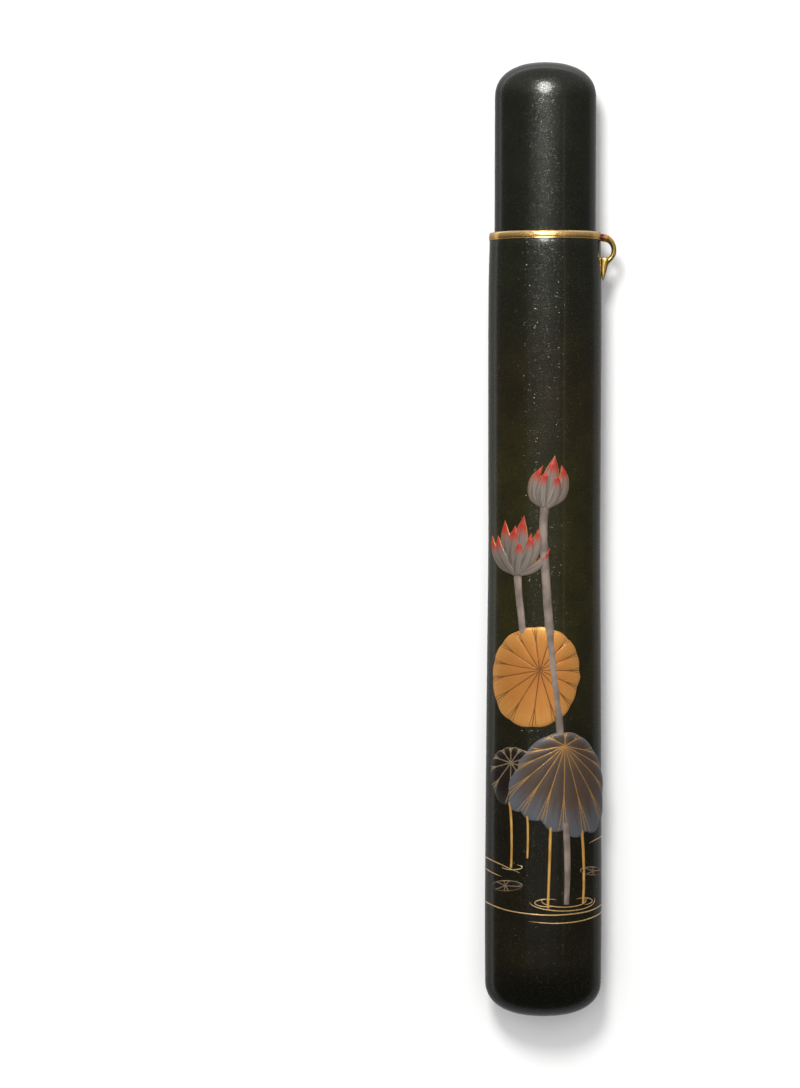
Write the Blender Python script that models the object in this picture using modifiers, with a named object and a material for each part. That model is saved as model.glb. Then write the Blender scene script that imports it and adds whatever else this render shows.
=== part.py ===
"""Two-part pipe case, lying on its back.

The case stands upright in its own frame, with its axis along Z, its front
towards -Y and the cord loop at +X. A parent empty then lays it down, so that
in the world its length runs along +Y, its front looks up along +Z, and the
flat strip on its back lies at z = 0 with the origin in the strip's middle.
"""

import math

import bmesh
import bpy

# Overall sizes, in metres
LENGTH = 0.2120  # crown of the inner tube to the foot of the case
CROWN_SHOWING = 0.0378  # how far the inner tube stands out of the rim

# Outer case: an oval tube with a rounded, closed foot
MOUTH_WIDTH = 0.0247
MOUTH_DEPTH = 0.0174
MOUTH_WALL = 0.0009
SWELL = 0.00105  # added to the width at the widest place
SWELL_UP = 0.0280  # the widest place, above the foot
FOOT_TUCK = 0.0003  # taken off the width again where the foot starts to round
FOOT_ROUND = 0.0082
FOOT_POWER = 2.4
FLOOR_WALL = 0.0016
FLAT_CUT = 0.00015  # depth of the flat strip, measured at the mouth

# Inner tube: closed and domed above, open below
TUBE_WALL = 0.0011
CROWN_ROUND = 0.00795
CROWN_POWER = 2.32
CROWN_WALL = 0.0015

# Gold rim with its cord loop, soldered into one fitting
RIM_HEIGHT = 0.0018
RIM_PROUD = 0.00014
RIM_EDGE = 0.0004
WIRE_THICKNESS = 0.0011
LOOP_REACH = 0.0033  # from the rim's side to the outside of the wire
LOOP_DROP = 0.0052  # from the middle of the rim to where the wire comes back
LOOP_POWER = 2.3
BACK_STRIP = 0.00035
TAIL_THICKNESS = 0.0012
TAIL_WIDTH = 0.0018
TAIL_LENGTH = 0.0087  # from the rim's underside to the tip

# Fits and roundness
CLEARANCE = 0.0003  # between the inner tube and what it slides in
JOIN_GAP = 0.0003  # between pieces that rest on each other
SIDES = 64
WIRE_SIDES = 2  # bevel resolution of the loop's wire
WELD = 0.00005

# Places along the axis, with zero at the middle of the length
CROWN_Z = LENGTH / 2
FOOT_Z = -LENGTH / 2
RIM_TOP_Z = CROWN_Z - CROWN_SHOWING
RIM_LOW_Z = RIM_TOP_Z - RIM_HEIGHT
MOUTH_Z = RIM_LOW_Z - JOIN_GAP
SWELL_Z = FOOT_Z + SWELL_UP
FOOT_START_Z = FOOT_Z + FOOT_ROUND
TUBE_END_Z = FOOT_START_Z + CLEARANCE

# Sizes that follow from the fits
BORE_WIDTH = MOUTH_WIDTH - 2 * MOUTH_WALL
BORE_DEPTH = MOUTH_DEPTH - 2 * MOUTH_WALL
TUBE_WIDTH = BORE_WIDTH - 2 * CLEARANCE
TUBE_DEPTH = BORE_DEPTH - 2 * CLEARANCE
RIM_WIDTH = MOUTH_WIDTH + 2 * RIM_PROUD
RIM_DEPTH = MOUTH_DEPTH + 2 * RIM_PROUD
AXIS_HEIGHT = MOUTH_DEPTH / 2 - FLAT_CUT


def clear_scene():
    for thing in list(bpy.data.objects):
        bpy.data.objects.remove(thing, do_unlink=True)


def make_collection(name):
    group = bpy.data.collections.new(name)
    bpy.context.scene.collection.children.link(group)
    return group


def make_material(name, color, roughness, metallic):
    material = bpy.data.materials.new(name)
    material.use_nodes = True
    shader = material.node_tree.nodes["Principled BSDF"]
    shader.inputs["Base Color"].default_value = (*color, 1.0)
    shader.inputs["Roughness"].default_value = roughness
    shader.inputs["Metallic"].default_value = metallic
    material.diffuse_color = (*color, 1.0)
    return material


def green_black_lacquer():
    return make_material("green_black_lacquer", (0.030, 0.033, 0.020), 0.38, 0.0)


def grey_black_lacquer():
    return make_material("grey_black_lacquer", (0.026, 0.028, 0.024), 0.34, 0.0)


def polished_gold():
    return make_material("polished_gold", (0.80, 0.52, 0.20), 0.22, 1.0)


def case_half_width(z):
    """Half the outer width of the case between its mouth and its foot's round."""
    mouth = MOUTH_WIDTH / 2
    if z >= SWELL_Z:
        down = (MOUTH_Z - z) / (MOUTH_Z - SWELL_Z)
        return mouth + SWELL / 2 * (1 - (1 - down) ** 1.2)
    down = (SWELL_Z - z) / (SWELL_Z - FOOT_START_Z)
    tuck = FOOT_TUCK / 2 * (1 - math.cos(math.pi * down)) / 2
    return mouth + SWELL / 2 - tuck


def rounded_end(half_width, start_z, end_z, power, steps=9):
    """Profile points of a superellipse, from its widest place to the axis."""
    points = []
    for step in range(1, steps + 1):
        turn = math.pi / 2 * step / steps
        across = math.cos(turn) ** (2 / power) if step < steps else 0.0
        along = math.sin(turn) ** (2 / power)
        points.append((half_width * across, start_z + (end_z - start_z) * along))
    return points


def flipped_end(half_width, start_z, end_z, power):
    """The same curve, run from the axis out to its widest place."""
    return rounded_end(half_width, start_z, end_z, power)[::-1]


def turned_oval(name, profile, width, depth, group):
    """Turns a profile about Z, then flattens it to an oval of width by depth."""
    mesh = bpy.data.meshes.new(name)
    points = [(radius, 0.0, z) for radius, z in profile]
    edges = [(i, i + 1) for i in range(len(points) - 1)]
    mesh.from_pydata(points, edges, [])
    turned = bpy.data.objects.new(name, mesh)
    group.objects.link(turned)
    turned.scale = (1.0, depth / width, 1.0)
    screw = turned.modifiers.new("Turn", "SCREW")
    screw.axis = "Z"
    screw.angle = 2 * math.pi
    screw.steps = SIDES
    screw.render_steps = SIDES
    screw.use_merge_vertices = True
    screw.merge_threshold = WELD
    screw.use_smooth_shade = True
    return turned


def mark_as_helper(helper):
    helper.hide_render = True
    helper.display_type = "WIRE"


def combine(target, tool, operation, name):
    boolean = target.modifiers.new(name, "BOOLEAN")
    boolean.operation = operation
    boolean.object = tool
    boolean.solver = "EXACT"


def curve_to_mesh(curve_object, group):
    """Replaces a curve by its welded mesh, in the same place."""
    bpy.context.view_layer.update()
    graph = bpy.context.evaluated_depsgraph_get()
    mesh = bpy.data.meshes.new_from_object(curve_object.evaluated_get(graph))
    work = bmesh.new()
    work.from_mesh(mesh)
    bmesh.ops.remove_doubles(work, verts=work.verts, dist=WELD / 10)
    bmesh.ops.recalc_face_normals(work, faces=work.faces)
    work.to_mesh(mesh)
    work.free()
    solid = bpy.data.objects.new(curve_object.name + "_solid", mesh)
    solid.matrix_world = curve_object.matrix_world
    group.objects.link(solid)
    bpy.data.objects.remove(curve_object, do_unlink=True)
    return solid


def make_case_body(parts):
    profile = [(0.0, MOUTH_Z)]
    stations = 8
    for i in range(stations + 1):
        z = MOUTH_Z + (SWELL_Z - MOUTH_Z) * i / stations
        profile.append((case_half_width(z), z))
    for share in (0.35, 0.7, 1.0):
        z = SWELL_Z + (FOOT_START_Z - SWELL_Z) * share
        profile.append((case_half_width(z), z))
    foot_half_width = case_half_width(FOOT_START_Z)
    profile += rounded_end(foot_half_width, FOOT_START_Z, FOOT_Z, FOOT_POWER)
    body = turned_oval("case_body", profile, MOUTH_WIDTH, MOUTH_DEPTH, parts)
    body.data.materials.append(green_black_lacquer())
    return body


def make_inner_tube(parts):
    half_width = TUBE_WIDTH / 2
    round_z = CROWN_Z - CROWN_ROUND
    profile = flipped_end(half_width, round_z, CROWN_Z, CROWN_POWER)
    profile += [(half_width, round_z), (half_width, TUBE_END_Z), (0.0, TUBE_END_Z)]
    tube = turned_oval("inner_tube", profile, TUBE_WIDTH, TUBE_DEPTH, parts)
    tube.data.materials.append(grey_black_lacquer())
    return tube


def make_mouth_rim(parts):
    half_width = RIM_WIDTH / 2
    profile = [(0.0, RIM_TOP_Z)]
    steps = 4
    for corner_z, start in ((RIM_TOP_Z - RIM_EDGE, 90), (RIM_LOW_Z + RIM_EDGE, 0)):
        for step in range(steps + 1):
            turn = math.radians(start - 90 * step / steps)
            radius = half_width - RIM_EDGE + RIM_EDGE * math.cos(turn)
            profile.append((radius, corner_z + RIM_EDGE * math.sin(turn)))
    profile.append((0.0, RIM_LOW_Z))
    rim = turned_oval("mouth_rim", profile, RIM_WIDTH, RIM_DEPTH, parts)
    rim.data.materials.append(polished_gold())
    return rim


def make_bore(helpers):
    """The space inside the case and the rim, with a rounded floor."""
    half_width = BORE_WIDTH / 2
    floor_z = FOOT_Z + FLOOR_WALL
    above_z = RIM_TOP_Z + RIM_HEIGHT
    profile = [(0.0, above_z), (half_width, above_z), (half_width, FOOT_START_Z)]
    profile += rounded_end(half_width, FOOT_START_Z, floor_z, FOOT_POWER, steps=7)
    return turned_oval("bore", profile, BORE_WIDTH, BORE_DEPTH, helpers)


def make_pipe_space(helpers):
    """The space inside the inner tube, open below."""
    half_width = TUBE_WIDTH / 2 - TUBE_WALL
    space_depth = TUBE_DEPTH - 2 * TUBE_WALL
    round_z = CROWN_Z - CROWN_ROUND
    below_z = TUBE_END_Z - CLEARANCE
    profile = flipped_end(half_width, round_z, CROWN_Z - CROWN_WALL, CROWN_POWER)
    profile += [(half_width, round_z), (half_width, below_z), (0.0, below_z)]
    return turned_oval("pipe_space", profile, 2 * half_width, space_depth, helpers)


def make_back_plane(helpers):
    """A block behind the case, whose face cuts the flat strip."""
    side = 2 * LENGTH
    bpy.ops.mesh.primitive_cube_add(size=side)
    block = bpy.context.active_object
    block.name = "back_plane"
    block.location = (0.0, AXIS_HEIGHT + side / 2, 0.0)
    for group in list(block.users_collection):
        group.objects.unlink(block)
    helpers.objects.link(block)
    return block


def loop_places():
    """Where the loop's wire starts and returns, and the tail's inner face."""
    top_z = (RIM_TOP_Z + RIM_LOW_Z) / 2
    root_z = top_z - LOOP_DROP
    tip_z = RIM_LOW_Z - TAIL_LENGTH
    face_x = case_half_width(tip_z) + JOIN_GAP
    return top_z, root_z, tip_z, face_x


def make_loop_wire(helpers):
    top_z, root_z, _, face_x = loop_places()
    radius = WIRE_THICKNESS / 2
    start_x = face_x + BACK_STRIP
    reach = RIM_WIDTH / 2 + LOOP_REACH - radius - start_x
    middle_z = (top_z + root_z) / 2
    half_drop = (top_z - root_z) / 2
    route = [(RIM_WIDTH / 2 - RIM_EDGE, top_z)]
    steps = 14
    for step in range(steps + 1):
        turn = math.pi / 2 - math.pi * step / steps
        out = abs(math.cos(turn)) ** (2 / LOOP_POWER)
        up = math.copysign(abs(math.sin(turn)) ** (2 / LOOP_POWER), math.sin(turn))
        route.append((start_x + reach * out, middle_z + half_drop * up))
    curve = bpy.data.curves.new("loop_wire", "CURVE")
    curve.dimensions = "3D"
    curve.bevel_depth = radius
    curve.bevel_resolution = WIRE_SIDES
    curve.use_fill_caps = True
    spline = curve.splines.new("POLY")
    spline.points.add(len(route) - 1)
    for point, (x, z) in zip(spline.points, route):
        point.co = (x, 0.0, z, 1.0)
    wire = bpy.data.objects.new("loop_wire", curve)
    helpers.objects.link(wire)
    return curve_to_mesh(wire, helpers)


def make_loop_tail(helpers):
    """The strip behind the eye and the pointed tail below it, in one outline."""
    _, root_z, tip_z, face_x = loop_places()
    inside_rim_x = RIM_WIDTH / 2 - RIM_EDGE
    step_z = RIM_LOW_Z + RIM_EDGE
    top_z = RIM_TOP_Z - RIM_EDGE
    strip_x = face_x + BACK_STRIP
    outline = [
        (inside_rim_x, top_z),
        (inside_rim_x, step_z),
        (face_x, step_z),
        (face_x, tip_z),
        (face_x + TAIL_THICKNESS * 0.12, tip_z),
        (face_x + TAIL_THICKNESS * 0.45, tip_z + (root_z - tip_z) * 0.40),
        (face_x + TAIL_THICKNESS * 0.80, tip_z + (root_z - tip_z) * 0.72),
        (face_x + TAIL_THICKNESS, root_z - WIRE_THICKNESS * 0.2),
        (strip_x, root_z + WIRE_THICKNESS * 0.9),
        (strip_x, top_z),
    ]
    curve = bpy.data.curves.new("loop_tail", "CURVE")
    curve.dimensions = "2D"
    curve.fill_mode = "BOTH"
    curve.extrude = TAIL_WIDTH / 2
    spline = curve.splines.new("POLY")
    spline.points.add(len(outline) - 1)
    for point, (x, z) in zip(spline.points, outline):
        point.co = (x, z, 0.0, 1.0)
    spline.use_cyclic_u = True
    outline_object = bpy.data.objects.new("loop_tail", curve)
    outline_object.rotation_euler = (math.pi / 2, 0.0, 0.0)
    helpers.objects.link(outline_object)
    tail = curve_to_mesh(outline_object, helpers)
    for vertex in tail.data.vertices:
        up = (vertex.co.y - tip_z) / (root_z - tip_z)
        vertex.co.z *= 0.3 + 0.7 * min(1.0, max(0.0, up))
    return tail


def lay_down(things, group):
    """Lays the case on its back by turning the empty that carries it."""
    carrier = bpy.data.objects.new("pipe_case", None)
    carrier.location = (0.0, 0.0, AXIS_HEIGHT)
    carrier.rotation_euler = (-math.pi / 2, 0.0, 0.0)
    group.objects.link(carrier)
    for thing in things:
        thing.parent = carrier


def build():
    clear_scene()
    parts = make_collection("pipe_case")
    helpers = make_collection("cutters")
    body = make_case_body(parts)
    tube = make_inner_tube(parts)
    rim = make_mouth_rim(parts)
    bore = make_bore(helpers)
    pipe_space = make_pipe_space(helpers)
    back_plane = make_back_plane(helpers)
    wire = make_loop_wire(helpers)
    tail = make_loop_tail(helpers)

    combine(body, bore, "DIFFERENCE", "Hollow")
    combine(body, back_plane, "DIFFERENCE", "Flat strip")
    combine(tube, pipe_space, "DIFFERENCE", "Hollow")
    combine(rim, bore, "DIFFERENCE", "Opening")
    combine(rim, tail, "UNION", "Strip and tail")
    combine(rim, wire, "UNION", "Loop")
    combine(rim, back_plane, "DIFFERENCE", "Flat strip")

    tools = (bore, pipe_space, back_plane, wire, tail)
    for tool in tools:
        mark_as_helper(tool)
    lay_down((body, tube, rim, *tools), parts)


build()
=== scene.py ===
import math

import bmesh
import bpy
import numpy as np
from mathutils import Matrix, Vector


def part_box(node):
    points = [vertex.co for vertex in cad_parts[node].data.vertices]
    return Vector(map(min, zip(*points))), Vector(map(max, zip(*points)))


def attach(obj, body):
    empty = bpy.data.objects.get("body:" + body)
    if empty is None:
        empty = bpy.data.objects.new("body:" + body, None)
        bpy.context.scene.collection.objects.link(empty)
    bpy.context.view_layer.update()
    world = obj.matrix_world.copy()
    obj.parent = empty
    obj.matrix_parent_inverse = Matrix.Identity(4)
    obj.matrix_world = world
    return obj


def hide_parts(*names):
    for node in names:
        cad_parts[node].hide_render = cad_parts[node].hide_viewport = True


# Sizes are in millimetres, and mm turns them into metres.
# Places on the case are (around, along): around is measured over the lacquer from the
# middle of the front, positive towards the cord loop; along is the world's Y.
mm = 0.001

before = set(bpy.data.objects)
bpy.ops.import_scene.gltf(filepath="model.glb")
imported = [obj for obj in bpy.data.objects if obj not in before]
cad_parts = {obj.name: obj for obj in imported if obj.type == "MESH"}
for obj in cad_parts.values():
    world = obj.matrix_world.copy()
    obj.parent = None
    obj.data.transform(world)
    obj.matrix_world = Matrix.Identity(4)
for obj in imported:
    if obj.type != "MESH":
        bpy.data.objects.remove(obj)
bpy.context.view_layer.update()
rimLow, rimHigh = (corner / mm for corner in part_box("mouth_rim"))
caseLow, caseHigh = (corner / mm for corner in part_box("case_body"))
tubeLow, tubeHigh = (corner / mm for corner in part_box("inner_tube"))
axisHeight = (tubeLow.z + tubeHigh.z) / 2
print("frame loaded, axis height", round(axisHeight, 3), "mm")


# Small helpers for curves and meshes

def smoothPath(points, count):
    # a soft curve through given points; further columns, such as a width, ride along
    knots = np.array(points, float)
    knots = np.vstack([2 * knots[0] - knots[1], knots, 2 * knots[-1] - knots[-2]])
    spans = len(points) - 1
    where = np.linspace(0, spans, count)
    span = np.minimum(where.astype(int), spans - 1)
    t = (where - span)[:, None]
    a, b, c, d = (knots[span + i] for i in range(4))
    bend = (2 * a - 5 * b + 4 * c - d) * t**2 + (3 * b - a - 3 * c + d) * t**3
    return 0.5 * (2 * b + (c - a) * t + bend)


def smoothStep(low, high, value):
    t = np.clip((value - low) / (high - low), 0, 1)
    return t * t * (3 - 2 * t)


def fullTurn(count):
    return np.linspace(0, 2 * math.pi, count, endpoint=False)


def sideways(path):
    # the direction across a path, at each of its points
    ahead = np.gradient(path, axis=0)
    ahead /= np.linalg.norm(ahead, axis=1)[:, None]
    return np.stack([ahead[:, 1], -ahead[:, 0]], axis=-1)


def addObject(name, data):
    thing = bpy.data.objects.new(name, data)
    bpy.context.scene.collection.objects.link(thing)
    return thing


def finishMesh(name, mesh, material):
    # turns faces outward, shades softly and hands the piece to the case's body
    work = bmesh.new()
    work.from_mesh(mesh)
    bmesh.ops.recalc_face_normals(work, faces=work.faces)
    work.to_mesh(mesh)
    work.free()
    mesh.shade_smooth()
    mesh.materials.append(material)
    piece = addObject(name, mesh)
    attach(piece, "root")
    return piece


def loft(name, rings, material, wrapRows=False, marks=None):
    # a closed skin over rings of points, in metres; marks are named values at each point
    rows, columns = rings.shape[:2]
    index = np.arange(rows * columns).reshape(rows, columns)
    here = index if wrapRows else index[:-1]
    ahead = np.roll(index, -1, axis=0) if wrapRows else index[1:]
    corners = [here, np.roll(here, -1, axis=1), np.roll(ahead, -1, axis=1), ahead]
    faces = np.stack(corners, axis=-1).reshape(-1, 4).tolist()
    if not wrapRows:
        faces.append(index[0][::-1].tolist())
        faces.append(index[-1].tolist())
    mesh = bpy.data.meshes.new(name)
    mesh.from_pydata(rings.reshape(-1, 3).tolist(), [], faces)
    for mark, values in (marks or {}).items():
        layer = mesh.attributes.new(mark, "FLOAT", "POINT")
        layer.data.foreach_set("value", np.ascontiguousarray(values, np.float32).ravel())
    return finishMesh(name, mesh, material)


outerPole, innerPole = 0.004, 0.006  # how small the last ring of a rounded end is


def roundedEnd(steps, power):
    # from the pole (0, 1) out to the widest place (1, 0), as shares of width and height
    turn = np.linspace(0, math.pi / 2, steps)
    return np.sin(turn) ** (2 / power), np.cos(turn) ** (2 / power)


def depthLeft(past, power):
    # the share of the depth left in a rounded end, past being how far into it, from 0 to 1
    return max(0.0, 1 - past ** power) ** (1 / power)


# The oval of the case

caseShape = {
    "rimProud": 0.14,  # how far the rim stands out past the lacquer
    # (along, how much wider than the mouth on each side):
    # drawn in at the mouth, a slight waist, full at the foot
    "swell": [(66.1, 0.00), (60, 0.14), (54, 0.23), (42, 0.25), (30, 0.22), (15, 0.17),
              (3, 0.11), (-6, 0.13), (-14, 0.20), (-25, 0.29), (-36, 0.38), (-50, 0.47),
              (-65, 0.56), (-80, 0.62), (-90, 0.60), (-98, 0.53)],
    "footRound": 8.2,
    "footPower": 2.4,
    "frontRound": 10.6,  # the foot's rounding seen from the side
    "wall": 0.9,
    "floorWall": 1.6,
    "mouthDepth": 8.7,  # half the depth at the mouth
    "lipGap": 0.02,  # between the mouth and the rim on it
    "lipRound": 0.06,
    # the mouth sits this much low, and this much higher for each millimetre towards the loop,
    # which dies away over skewReach below it
    "skew": (-0.06, 0.008),
    "skewReach": 9,
    "facets": 288,
}
mouthHalf = -rimLow.x - caseShape["rimProud"]
caseFlatness = caseShape["mouthDepth"] / mouthHalf
footY = caseLow.y
footStartY = footY + caseShape["footRound"]
swellPath = smoothPath(caseShape["swell"][::-1], 600)
stripLift = (-0.04, 0.03)  # how far a piece may sink in or stand out over the flat strip


def caseHalfWidth(along):
    return mouthHalf + np.interp(along, swellPath[:, 0], swellPath[:, 1])


def ovalLength():
    # how far around the lacquer each turn of the oval lies, at the case's middle
    turn = np.linspace(-math.pi, math.pi, 4001)
    half = caseHalfWidth(0.0)
    across, deep = half * np.cos(turn), half * caseFlatness * np.sin(turn)
    step = np.hypot(across, deep)
    length = np.concatenate([[0], np.cumsum((step[1:] + step[:-1]) / 2 * np.diff(turn))])
    return turn, length - length[-1] / 2


ovalTurn, ovalAround = ovalLength()


def onCase(around, along, lift):
    # the point, in metres, that stands lift above the lacquer
    around, along, lift = np.broadcast_arrays(around, along, lift)
    half = caseHalfWidth(along)
    deep = half * caseFlatness
    turn = np.interp(around, ovalAround, ovalTurn)
    outX, outZ = np.sin(turn) / half, np.cos(turn) / deep
    size = np.hypot(outX, outZ)
    x = half * np.sin(turn) + lift * outX / size
    z = axisHeight + deep * np.cos(turn) + lift * outZ / size
    z = np.maximum(z, -np.clip(lift, *stripLift))
    return np.stack([x, along, z], axis=-1) * mm


def mouthSkew(x, y):
    # the rim and the mouth under it sit a little askew, lower away from the loop
    shift, slope = caseShape["skew"]
    return y + (shift + slope * x) * smoothStep(caseHigh.y - caseShape["skewReach"], caseHigh.y, y)


def ovalRing(half, deep, y, turns, flatBack=True):
    # a section of the case or the rim, cut off below for the flat strip
    x, z = half * np.sin(turns), axisHeight + deep * np.cos(turns)
    if flatBack:
        z = np.maximum(z, 0.0)
    return np.stack([x, mouthSkew(x, y), z], axis=-1)


# Material helpers

def makeMaterial(name):
    material = bpy.data.materials.new(name)
    material.use_nodes = True
    shader = material.node_tree.nodes["Principled BSDF"]
    return material, material.node_tree, shader


def feed(tree, socket, value):
    # links another node's output, or sets a plain value
    if isinstance(value, bpy.types.NodeSocket):
        tree.links.new(value, socket)
    else:
        socket.default_value = value


def addNode(tree, kind, inputs=None, **settings):
    node = tree.nodes.new("ShaderNode" + kind)
    for key, value in settings.items():
        setattr(node, key, value)
    for key, value in (inputs or {}).items():
        feed(tree, node.inputs[key], value)
    return node


def objectPlace(tree):
    return addNode(tree, "TexCoord").outputs["Object"]


def splitXyz(tree, vector):
    return addNode(tree, "SeparateXYZ", {0: vector}).outputs.values()


def noise(tree, place, grain, detail=2.0, roughness=0.5):
    # grain is the size of the pattern in millimetres
    inputs = {"Vector": place, "Scale": 1 / (grain * mm), "Detail": detail, "Roughness": roughness}
    return addNode(tree, "TexNoise", inputs).outputs["Fac"]


def cells(tree, place, grain):
    return addNode(tree, "TexVoronoi", {"Vector": place, "Scale": 1 / (grain * mm)}).outputs


def ramp(tree, value, low, high, outLow=0.0, outHigh=1.0):
    inputs = {"Value": value, "From Min": low, "From Max": high,
              "To Min": outLow, "To Max": outHigh}
    return addNode(tree, "MapRange", inputs, interpolation_type="SMOOTHSTEP").outputs["Result"]


def mathNode(tree, operation, a, b):
    return addNode(tree, "Math", {0: a, 1: b}, operation=operation).outputs["Value"]


def times(tree, a, b):
    return mathNode(tree, "MULTIPLY", a, b)


def plus(tree, a, b):
    return mathNode(tree, "ADD", a, b)


def minus(tree, a, b):
    return mathNode(tree, "SUBTRACT", a, b)


def vectorNode(tree, operation, a, b=(0.0, 0.0, 0.0), result="Vector"):
    return addNode(tree, "VectorMath", {0: a, 1: b}, operation=operation).outputs[result]


def mixColor(tree, share, a, b):
    # a and b are colours: three numbers, or another node's output
    a, b = ((*color, 1.0) if isinstance(color, tuple) else color for color in (a, b))
    return addNode(tree, "Mix", {0: share, 6: a, 7: b}, data_type="RGBA").outputs[2]


def mark(tree, name):
    # a value that loft stored at each point
    return addNode(tree, "Attribute", attribute_name=name).outputs["Fac"]


def bump(tree, height, depth, below=None):
    # depth is the relief's height in millimetres
    inputs = {"Height": height, "Distance": depth * mm, "Strength": 1.0}
    if below is not None:
        inputs["Normal"] = below
    return addNode(tree, "Bump", inputs).outputs["Normal"]


def connect(tree, shader, **values):
    names = {"color": "Base Color", "roughness": "Roughness", "metallic": "Metallic", "ior": "IOR",
             "specular": "Specular IOR Level", "normal": "Normal", "coat": "Coat Weight",
             "coatRoughness": "Coat Roughness", "coatNormal": "Coat Normal",
             "glow": "Emission Strength", "glowColor": "Emission Color"}
    for key, value in values.items():
        feed(tree, shader.inputs[names[key]], value)


# Lacquer and metals

caseLacquer = {
    # (along, colour under the gloss), foot to mouth; the stops darken over the rounded foot, a painted
    # shade where it turns away from the lamps
    "front": [(-103, (0.0016, 0.0016, 0.0003)), (-97, (0.0026, 0.0022, 0.0004)),
              (-92, (0.0064, 0.0048, 0.0010)), (-58, (0.0044, 0.0033, 0.0005)),
              (-20, (0.0140, 0.0118, 0.0012)), (12, (0.0142, 0.0120, 0.0014)),
              (32, (0.0098, 0.0072, 0.0010)), (58, (0.0058, 0.0062, 0.0018))],
    "back": [(-103, (0.0022, 0.0022, 0.0006)), (-92, (0.0062, 0.0058, 0.0012)),
             (-50, (0.0066, 0.0068, 0.0014)), (0, (0.0084, 0.0096, 0.0025)),
             (58, (0.0070, 0.0078, 0.0026))],
    "fleck": (0.080, 0.081, 0.062),
    "fleckGrain": 0.24,
    "fleckTilt": 0.75,
}
tubeLacquer = {
    "front": [(60, (0.0050, 0.0054, 0.0022)), (106, (0.0056, 0.0062, 0.0028))],
    "back": [(60, (0.0050, 0.0054, 0.0024)), (106, (0.0056, 0.0062, 0.0028))],
    "fleck": (0.078, 0.081, 0.070),
    "fleckGrain": 0.23,
    "fleckTilt": 0.28,
}
lacquerCoat = {
    # what the two lacquers share; grains and depths are in millimetres
    "backToFront": (-4, 2),  # from the axis, where the back's colour turns into the front's
    "skinGrain": 0.34,
    "skinDepth": 0.029,
    "coatDepth": 0.15,  # share of the skin's depth that shows in the clear coat
    "domeDepth": 0.014,
    "waveGrain": 7.0,
    "waveDepth": 0.010,
    "cloudGrain": 7.0,
    "clouds": (0.78, 1.16),  # darkest and lightest
    "wearGrain": 5.0,
    "fleckEdge": (0.46, 0.38),  # where a fleck ends in its cell
    "bare": 0.62,  # share of the cells that hold no fleck
    "fleckLevels": (0.4, 1.5),
    "roughness": (0.21, 0.29),
    "ior": 1.5,
    "specular": 0.32,
    "coat": 0.5,
    "coatRoughness": 0.10,
}


def colorAlong(tree, along, stops):
    # the colours of stops, spread over the length between the first and the last
    first, last = stops[0][0], stops[-1][0]
    reach = {"Value": along, "From Min": first * mm, "From Max": last * mm}
    share = addNode(tree, "MapRange", reach)
    node = addNode(tree, "ValToRGB", {"Fac": share.outputs["Result"]})
    node.color_ramp.interpolation = "EASE"
    points = node.color_ramp.elements
    while len(points) < len(stops):
        points.new(0.5)
    for point, (where, color) in zip(points, stops):
        point.position = (where - first) / (last - first)
    for point, (where, color) in zip(points, stops):
        point.color = (*color, 1.0)
    return node.outputs["Color"]


def speckledLacquer(name, look):
    # dark lacquer strewn with fine powder under a thin clear coat, a little uneven
    coat = lacquerCoat
    material, tree, shader = makeMaterial(name)
    place = objectPlace(tree)
    y, z = splitXyz(tree, place)[1:]
    low, high = ((axisHeight + up) * mm for up in coat["backToFront"])
    front = ramp(tree, z, low, high)
    ground = mixColor(tree, front, colorAlong(tree, y, look["back"]), colorAlong(tree, y, look["front"]))
    clouds = ramp(tree, noise(tree, place, coat["cloudGrain"], 4.0, 0.6), 0.35, 0.65, *coat["clouds"])
    ground = vectorNode(tree, "MULTIPLY", ground, clouds)

    # some of the cells hold a fleck, each of its own brightness
    dots = cells(tree, place, look["fleckGrain"])
    chances = addNode(tree, "SeparateColor", {0: dots["Color"]}).outputs
    chosen, bare = chances["Red"], coat["bare"]
    inside = ramp(tree, dots["Distance"], *coat["fleckEdge"])
    fleck = times(tree, inside, ramp(tree, chosen, bare, bare + 0.02))
    level = ramp(tree, chosen, bare, 1.0, *coat["fleckLevels"])
    color = mixColor(tree, fleck, ground, vectorNode(tree, "MULTIPLY", look["fleck"], level))

    skin = noise(tree, place, coat["skinGrain"], 3.0, 0.6)
    wear = noise(tree, place, coat["wearGrain"], 4.0)
    worn = plus(tree, times(tree, skin, 0.4), times(tree, wear, 0.6))
    rough = ramp(tree, worn, 0.35, 0.65, *coat["roughness"])
    connect(tree, shader, color=color, metallic=fleck, roughness=rough)
    wave = bump(tree, noise(tree, place, coat["waveGrain"], 2.0), coat["waveDepth"])
    domed = bump(tree, dots["Distance"], coat["domeDepth"], below=wave)

    # each fleck lies at a slant of its own
    lean = addNode(tree, "CombineXYZ", {"X": chances["Green"], "Y": chances["Blue"]})
    away = vectorNode(tree, "SUBTRACT", lean.outputs["Vector"], (0.5, 0.5, 0.0))
    steep = times(tree, vectorNode(tree, "LENGTH", away, result="Value"), fleck)
    steep = times(tree, steep, look["fleckTilt"])
    slanted = vectorNode(tree, "ADD", domed, vectorNode(tree, "MULTIPLY", away, steep))
    lying = vectorNode(tree, "NORMALIZE", slanted)
    thinSkin = coat["skinDepth"] * coat["coatDepth"]
    connect(tree, shader, normal=bump(tree, skin, coat["skinDepth"], below=lying),
            coatNormal=bump(tree, skin, thinSkin, below=wave))
    connect(tree, shader, **{key: coat[key] for key in ("ior", "specular", "coat", "coatRoughness")})
    return material


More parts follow.
